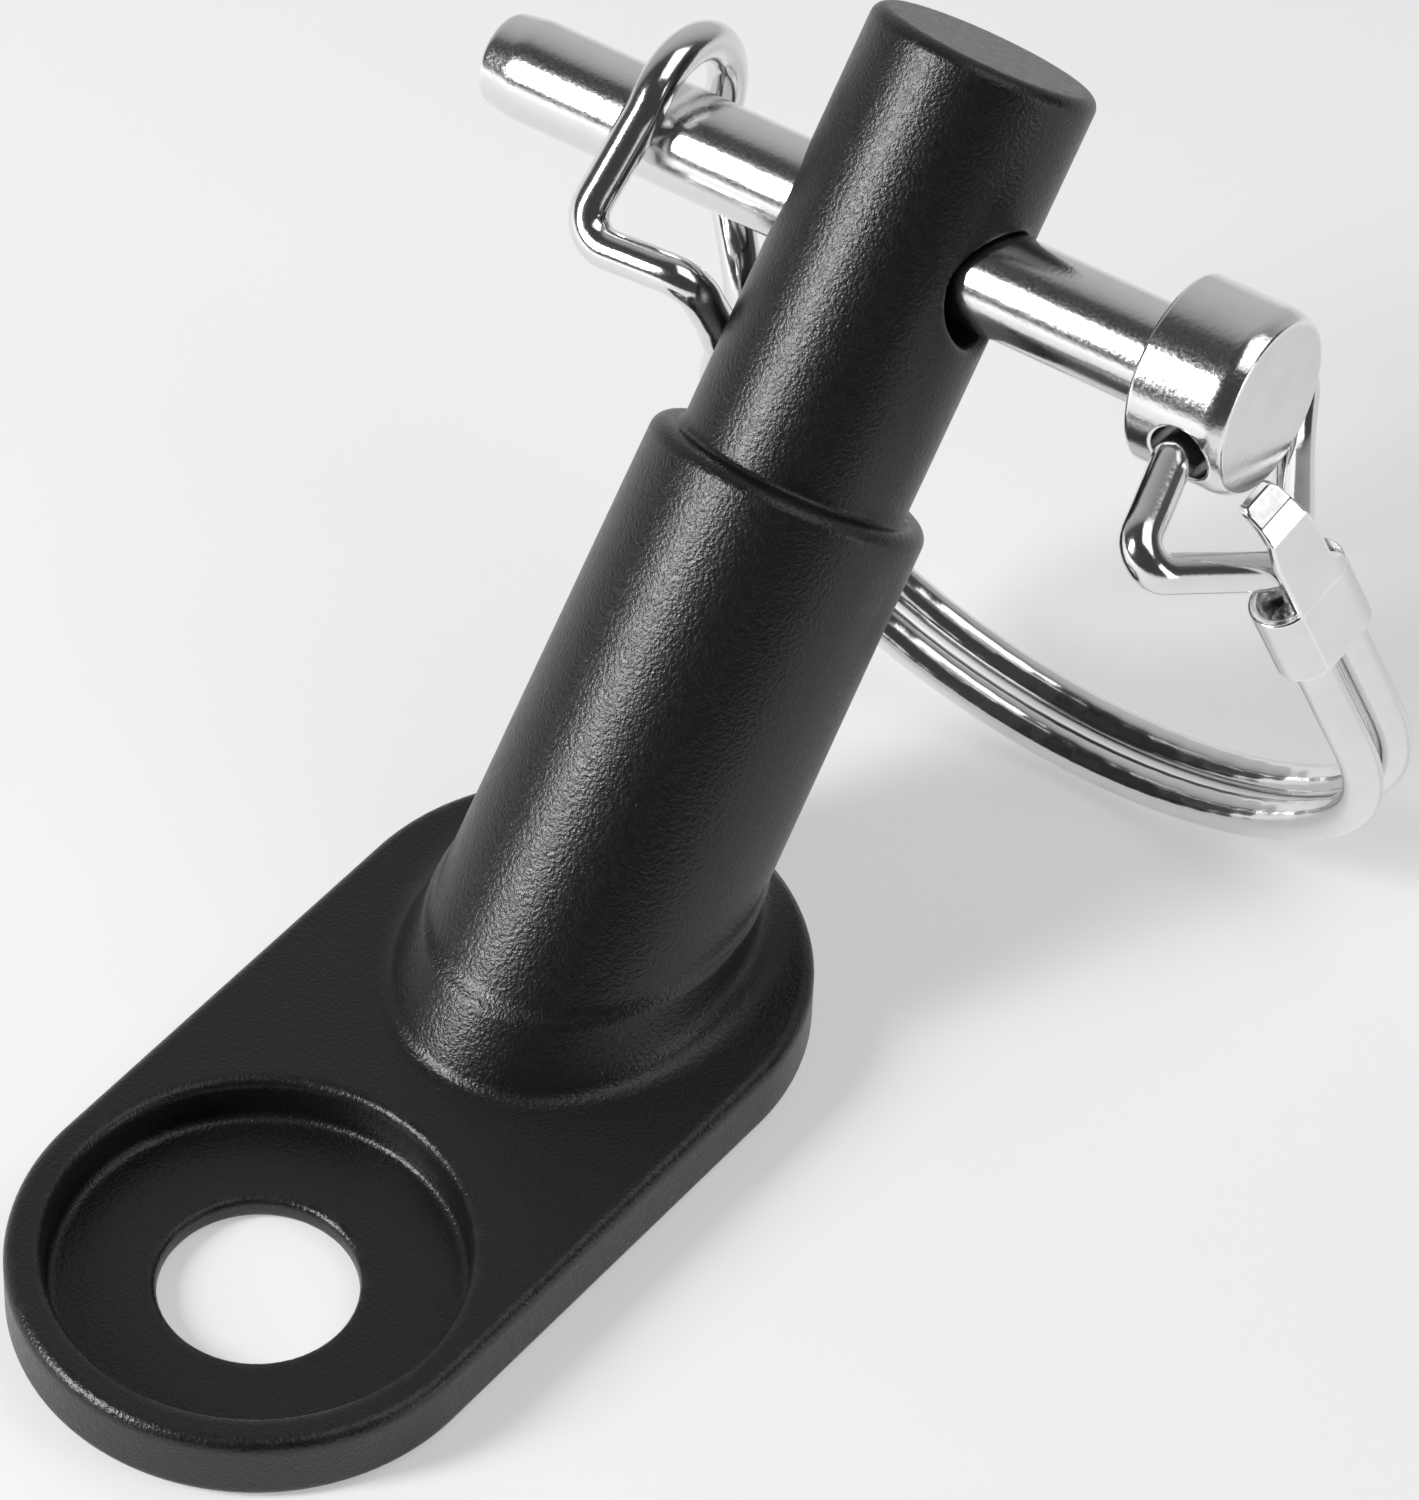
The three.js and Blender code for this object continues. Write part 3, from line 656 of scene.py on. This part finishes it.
def ring_route():
    """The near strand rises to the loop, the loop rounds the pin, and the far strand returns."""
    near = strand_route(STRAND_NEAR, STRAND_INSET, NEAR_LEAVE)
    far = strand_route(STRAND_FAR, 0, FAR_LEAVE)
    rise = [(ring_point(reach, depth, STRAND_NEAR), 0) for reach, depth in LOOP_RISE]
    top_front = ((LOOP_REACH, LOOP_CROWN, LOOP_HALF_GAP), 0)
    top_back = ((LOOP_REACH, LOOP_CROWN, -LOOP_HALF_GAP), 0)
    front = [(near[-1], 0), *rise, *LOOP_FRONT_BENDS, top_front]
    crown = arc(0, 0, LOOP_HALF_GAP, 0, math.pi, 12)
    over = [np.array([LOOP_REACH, LOOP_CROWN + y, x]) for x, y in crown[1:-1]]
    back = [top_back, *LOOP_BACK_BENDS, (far[-1], 0)]
    return near[:-1] + rounded_route(front) + over + rounded_route(back) + far[-2::-1]


# ---------- materials ----------

class Surface:
    """A material's node tree with short ways to add what every finish here uses."""

    def __init__(self, name):
        self.material = bpy.data.materials.new(name)
        self.material.use_nodes = True
        self.tree = self.material.node_tree
        self.shader = self.tree.nodes["Principled BSDF"]
        self.place = self.tree.nodes.new("ShaderNodeTexCoord").outputs["Object"]

    def join(self, source, target):
        self.tree.links.new(source, target)

    def noise(self, per_metre, detail=2.0):
        node = self.tree.nodes.new("ShaderNodeTexNoise")
        node.inputs["Scale"].default_value = per_metre
        node.inputs["Detail"].default_value = detail
        self.join(self.place, node.inputs["Vector"])
        return node.outputs["Fac"]

    def spread(self, source, low, high, out_low, out_high):
        node = self.tree.nodes.new("ShaderNodeMapRange")
        node.inputs["From Min"].default_value = low
        node.inputs["From Max"].default_value = high
        node.inputs["To Min"].default_value = out_low
        node.inputs["To Max"].default_value = out_high
        self.join(source, node.inputs["Value"])
        return node.outputs["Result"]

    def combine(self, a, b, operation="ADD"):
        node = self.tree.nodes.new("ShaderNodeMath")
        node.operation = operation
        self.join(a, node.inputs[0])
        self.join(b, node.inputs[1])
        return node.outputs[0]

    def mix(self, share, first, second):
        node = self.tree.nodes.new("ShaderNodeMix")
        node.data_type = "RGBA"
        self.join(share, node.inputs["Factor"])
        for value, key in ((first, 6), (second, 7)):
            if isinstance(value, tuple):
                node.inputs[key].default_value = (*value, 1)
            else:
                self.join(value, node.inputs[key])
        return node.outputs[2]

    def attribute(self, name):
        node = self.tree.nodes.new("ShaderNodeAttribute")
        node.attribute_name = name
        return node.outputs["Fac"]

    def bump(self, height, depth):
        node = self.tree.nodes.new("ShaderNodeBump")
        node.inputs["Distance"].default_value = depth
        self.join(height, node.inputs["Height"])
        self.join(node.outputs["Normal"], self.shader.inputs["Normal"])


def powder_coat():
    """Satin black powder coat: pebbled orange peel with finer grit, and edges lighter, partly as
    rub wear and partly as a painted sheen.
    """
    coat = Surface("black_powder_coat")
    pebbles = coat.noise(COAT_PEBBLES, 1.5)
    grit = coat.noise(COAT_GRIT, 1.0)
    coat.bump(coat.combine(pebbles, coat.spread(grit, 0, 1, 0, 0.3)), COAT_BUMP)
    tone = coat.mix(coat.noise(COAT_TONE_GRAIN, 3.0), COAT_DARK, COAT_LIGHT)
    # Lighter edges in patches: partly rub wear, partly a painted sheen
    rub_and_sheen_patches = coat.spread(coat.noise(COAT_RUB_AND_SHEEN_GRAIN), 0.45, 0.75, 0, 0.5)
    rub_and_sheen = coat.combine(coat.attribute("edge"), rub_and_sheen_patches, "MULTIPLY")
    coat.join(coat.mix(rub_and_sheen, tone, COAT_RUBBED_AND_SHEEN), coat.shader.inputs["Base Color"])
    gloss = coat.spread(coat.noise(COAT_GLOSS_GRAIN), 0.3, 0.7, 0.29, 0.37)
    coat.join(gloss, coat.shader.inputs["Roughness"])
    return coat.material


def bright_plate(name, grain, depth, smoothest, roughest):
    """Bright zinc plate: faint waviness under it, edges lighter as a painted highlight, and a
    mottled gloss.
    """
    plate = Surface(name)
    waves = plate.noise(grain, 2.0)
    fine = plate.noise(grain * 5, 1.0)
    plate.bump(plate.combine(waves, plate.spread(fine, 0, 1, 0, 0.25)), depth)
    tone = plate.mix(plate.noise(PLATING_TONE_GRAIN, 3.0), PLATING_DULL, PLATING_CLEAR)
    # Painted highlight: convex edges lighter than the plating
    tone = plate.mix(plate.attribute("edge"), tone, PLATING_EDGE_HIGHLIGHT)
    plate.join(tone, plate.shader.inputs["Base Color"])
    gloss = plate.spread(plate.noise(grain * 1.6, 3.0), 0.3, 0.7, smoothest, roughest)
    plate.join(gloss, plate.shader.inputs["Roughness"])
    plate.shader.inputs["Metallic"].default_value = 1.0
    return plate.material


# ---------- pieces ----------

def finish_piece(piece, material, body, node):
    """Give a piece its material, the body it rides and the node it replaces."""
    piece.data.materials.append(material)
    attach(piece, body)
    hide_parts(node)


def make_coupler():
    sine = math.sin(COLUMN_LEAN)
    cosine = math.cos(COLUMN_LEAN)
    reach = COLUMN_X + COLUMN_LENGTH * sine + SPIGOT_RADIUS * cosine
    top = PLATE_THICKNESS + COLUMN_LENGTH * cosine + SPIGOT_RADIUS * sine
    low = (-PLATE_HALF_WIDTH, -PLATE_HALF_WIDTH, 0)
    high = (reach, PLATE_HALF_WIDTH, top)
    step = COUPLER_STEP
    piece = solid_from("coupler_casting", coupler_field, low, high, step, row_place())
    finish_piece(piece, powder_coat(), "coupler", "coupler_body")


def make_pin():
    low = (-PIN_TIP_REACH, -HEAD_RADIUS, -HEAD_RADIUS)
    high = (HEAD_END, HEAD_RADIUS, HEAD_RADIUS)
    piece = solid_from("turned_lock_pin", pin_field, low, high, PIN_STEP, pin_place())
    steel = bright_plate("plated_pin", 3400, 0.000010, 0.12, 0.22)
    finish_piece(piece, steel, "pin", "lock_pin")


def make_link(steel):
    piece = wire_from("bent_link_wire", link_route(), link_place())
    finish_piece(piece, steel, "link", "link_wire")


def make_ring(steel):
    piece = wire_from("spring_ring_wire", ring_route(), pin_place())
    finish_piece(piece, steel, "ring", "ring_wire")


def make_ferrule():
    low = (0, -FERRULE_DEPTH / 2, -FERRULE_WIDTH / 2)
    high = (TONGUE_CREASES[-1][0] + SHEET, FERRULE_DEPTH / 2, FERRULE_WIDTH / 2)
    piece = solid_from("folded_ferrule", ferrule_field, low, high, FERRULE_STEP, ferrule_place())
    steel = bright_plate("plated_sheet", 1100, 0.000008, 0.14, 0.22)
    finish_piece(piece, steel, "ring", "ring_ferrule")


# ---------- stage ----------

def make_floor():
    """A pale paper sheet, a little lit from within so that its tone is even."""
    bpy.ops.mesh.primitive_plane_add(size=FLOOR_SIZE, location=(0, 0, -FLOOR_DROP))
    floor = bpy.context.object
    floor.name = "floor"
    paper = bpy.data.materials.new("pale_paper")
    paper.use_nodes = True
    shader = paper.node_tree.nodes["Principled BSDF"]
    shader.inputs["Base Color"].default_value = (FLOOR_TONE, FLOOR_TONE, FLOOR_TONE, 1)
    shader.inputs["Roughness"].default_value = 0.9
    shader.inputs["Specular IOR Level"].default_value = 0.0
    shader.inputs["Emission Color"].default_value = (1, 1, 1, 1)
    shader.inputs["Emission Strength"].default_value = FLOOR_GLOW
    floor.data.materials.append(paper)


def softbox(name, azimuth, elevation, distance, width, height, power, aim=Vector((0.02, 0, 0.025))):
    """An area light that faces the object from that azimuth, counted from +X toward +Y."""
    a = math.radians(azimuth)
    e = math.radians(elevation)
    away = Vector((math.cos(a) * math.cos(e), math.sin(a) * math.cos(e), math.sin(e)))
    light = bpy.data.lights.new(name, "AREA")
    light.shape = "RECTANGLE"
    light.size = width
    light.size_y = height
    light.energy = power
    lamp = bpy.data.objects.new(name, light)
    lamp.location = aim + away * distance
    lamp.rotation_euler = (-away).to_track_quat("-Z", "Y").to_euler()
    bpy.context.scene.collection.objects.link(lamp)


def make_world():
    """Pale to the camera; to reflections, a dim studio with a pale wall behind the object."""
    world = bpy.data.worlds.new("studio")
    bpy.context.scene.world = world
    world.use_nodes = True
    tree = world.node_tree
    background = tree.nodes["Background"]
    direction = tree.nodes.new("ShaderNodeTexCoord")
    toward = tree.nodes.new("ShaderNodeVectorMath")
    ramp = tree.nodes.new("ShaderNodeValToRGB")
    seen = tree.nodes.new("ShaderNodeLightPath")
    mix = tree.nodes.new("ShaderNodeMix")
    mix.data_type = "RGBA"
    toward.operation = "DOT_PRODUCT"
    toward.inputs[1].default_value = (math.cos(WALL_AZIMUTH), math.sin(WALL_AZIMUTH), 0)
    tree.links.new(direction.outputs["Generated"], toward.inputs[0])
    tree.links.new(toward.outputs["Value"], ramp.inputs["Fac"])
    while len(ramp.color_ramp.elements) < len(WALL_RAMP):
        ramp.color_ramp.elements.new(0.5)
    for element, (place, value) in zip(ramp.color_ramp.elements, WALL_RAMP):
        element.position = place
        element.color = (value, value, value, 1)
    tree.links.new(seen.outputs["Is Camera Ray"], mix.inputs["Factor"])
    tree.links.new(ramp.outputs["Color"], mix.inputs[6])
    mix.inputs[7].default_value = (BACKGROUND_TONE, BACKGROUND_TONE, BACKGROUND_TONE, 1)
    tree.links.new(mix.outputs[2], background.inputs["Color"])
    background.inputs["Strength"].default_value = 1.0


def make_camera():
    """One long-lens viewpoint from above, with no shift."""
    right = CAMERA_RIGHT.normalized()
    back = -CAMERA_VIEW.normalized()
    up = back.cross(right).normalized()
    right = up.cross(back)
    data = bpy.data.cameras.new("camera")
    data.sensor_width = SENSOR
    data.lens = FOCAL_PIXELS * SENSOR / IMAGE_HEIGHT
    data.clip_start = 0.01
    camera = bpy.data.objects.new("camera", data)
    turn = Matrix((right, up, back)).transposed().to_4x4()
    camera.matrix_world = Matrix.Translation(CAMERA_PLACE) @ turn
    bpy.context.scene.collection.objects.link(camera)
    bpy.context.scene.camera = camera


def make_lights():
    softbox("left_tall", 147, 30, 0.5, 0.10, 0.26, 2.6)
    softbox("front_low", -78, 8, 0.5, 0.16, 0.30, 0.35)
    softbox("key", -60, 62, 0.6, 0.45, 0.45, 0.9)


bpy.context.scene.view_settings.view_transform = "Standard"
make_camera()
make_floor()
make_world()
make_lights()
make_coupler()
make_pin()
wire_steel = bright_plate("plated_wire", 3400, 0.000005, 0.10, 0.17)
make_link(wire_steel)
make_ring(wire_steel)
make_ferrule()
